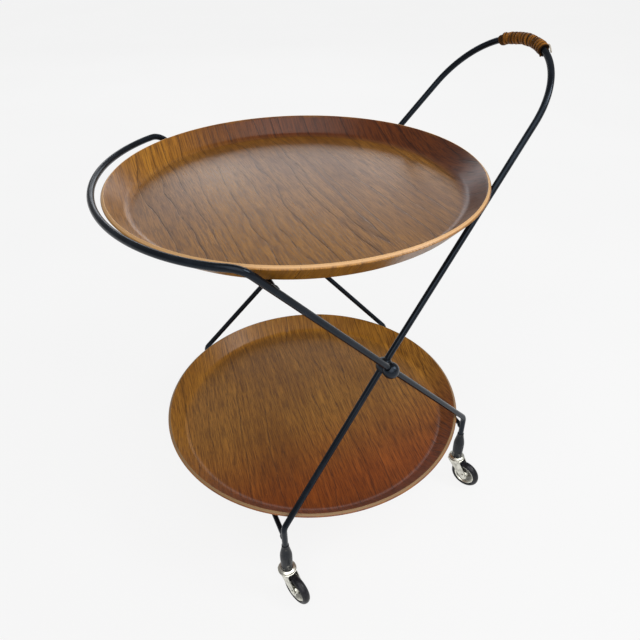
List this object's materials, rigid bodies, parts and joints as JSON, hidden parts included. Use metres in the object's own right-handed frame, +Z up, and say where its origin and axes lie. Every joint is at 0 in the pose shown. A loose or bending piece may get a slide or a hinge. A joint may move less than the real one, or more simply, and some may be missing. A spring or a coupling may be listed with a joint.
{
  "type": "bar cart",
  "caption": "Two-tier trolley: round pressed-wood trays on a crossed bent-rod frame with an arched wrapped handle, a ring round the upper tray, and swivel casters.",
  "frame": {"origin": "on the floor, below the middle of the overall length and width", "axes": "+Z up, +X towards the arched handle, +Y towards the far side; the frame is symmetrical about y = 0"},
  "size_m": [0.6116, 0.528, 0.7049],
  "materials": {
    "black_steel": "satin black",
    "ball_black": "gloss black",
    "socket_black": "satin black",
    "teak_ply_upper": "satin lacquered teak veneer, light plywood edge",
    "teak_ply_lower": "satin lacquered teak veneer, light plywood edge",
    "cane": "wound brown cane",
    "plated": "dull nickel plate",
    "wheel_metal": "dull nickel plate",
    "tyre": "black rubber"
  },
  "bodies": {
    "frame": {"handle_frame": "black_steel", "ring_frame": "black_steel", "handle_frame_foot_bar": "black_steel", "handle_frame_tray_bar": "black_steel", "ring_frame_foot_bar": "black_steel", "ring_frame_tray_bar": "black_steel", "pivot_ball_handle_near": "ball_black", "pivot_ball_handle_far": "ball_black", "pivot_ball_ring_near": "ball_black", "pivot_ball_ring_far": "ball_black", "pivot_pin_near": "plated", "pivot_pin_far": "plated", "handle_wrap": "cane", "lower_tray": "teak_ply_lower", "leg_socket_left_near": "socket_black", "caster_race_left_near": "plated", "leg_socket_left_far": "socket_black", "caster_race_left_far": "plated", "leg_socket_right_near": "socket_black", "caster_race_right_near": "plated", "leg_socket_right_far": "socket_black", "caster_race_right_far": "plated"},
    "upper_tray": {"upper_tray": "teak_ply_upper"},
    "swivel_left_near": {"caster_stem_left_near": "plated", "caster_fork_left_near": "plated", "caster_axle_left_near": "plated"},
    "wheel_left_near": {"caster_wheel_left_near": "wheel_metal", "caster_tyre_left_near": "tyre"},
    "swivel_left_far": {"caster_stem_left_far": "plated", "caster_fork_left_far": "plated", "caster_axle_left_far": "plated"},
    "wheel_left_far": {"caster_wheel_left_far": "wheel_metal", "caster_tyre_left_far": "tyre"},
    "swivel_right_near": {"caster_stem_right_near": "plated", "caster_fork_right_near": "plated", "caster_axle_right_near": "plated"},
    "wheel_right_near": {"caster_wheel_right_near": "wheel_metal", "caster_tyre_right_near": "tyre"},
    "swivel_right_far": {"caster_stem_right_far": "plated", "caster_fork_right_far": "plated", "caster_axle_right_far": "plated"},
    "wheel_right_far": {"caster_wheel_right_far": "wheel_metal", "caster_tyre_right_far": "tyre"}
  },
  "joints": [
    {"name": "upper_tray_lift", "type": "slide", "parent": "frame", "child": "upper_tray", "axis": [0, 0, 1], "range_m": [0, 0.2]},
    {"name": "swivel_turn_left_near", "type": "hinge", "parent": "frame", "child": "swivel_left_near", "pos_m": [-0.1647, -0.2204, 0.055], "axis": [0, 0, 1], "continuous": true},
    {"name": "wheel_spin_left_near", "type": "hinge", "parent": "swivel_left_near", "child": "wheel_left_near", "pos_m": [-0.15752, -0.24013, 0.025], "axis": [0.9397, 0.342, 0], "continuous": true},
    {"name": "swivel_turn_left_far", "type": "hinge", "parent": "frame", "child": "swivel_left_far", "pos_m": [-0.1647, 0.2204, 0.055], "axis": [0, 0, 1], "continuous": true},
    {"name": "wheel_spin_left_far", "type": "hinge", "parent": "swivel_left_far", "child": "wheel_left_far", "pos_m": [-0.15752, 0.24013, 0.025], "axis": [-0.9397, 0.342, 0], "continuous": true},
    {"name": "swivel_turn_right_near", "type": "hinge", "parent": "frame", "child": "swivel_right_near", "pos_m": [0.1842, -0.1404, 0.055], "axis": [0, 0, 1], "continuous": true},
    {"name": "wheel_spin_right_near", "type": "hinge", "parent": "swivel_right_near", "child": "wheel_right_near", "pos_m": [0.19341, -0.15927, 0.025], "axis": [0.8988, 0.4384, 0], "continuous": true},
    {"name": "swivel_turn_right_far", "type": "hinge", "parent": "frame", "child": "swivel_right_far", "pos_m": [0.1842, 0.1404, 0.055], "axis": [0, 0, 1], "continuous": true},
    {"name": "wheel_spin_right_far", "type": "hinge", "parent": "swivel_right_far", "child": "wheel_right_far", "pos_m": [0.19341, 0.15927, 0.025], "axis": [-0.8988, 0.4384, 0], "continuous": true}
  ]
}
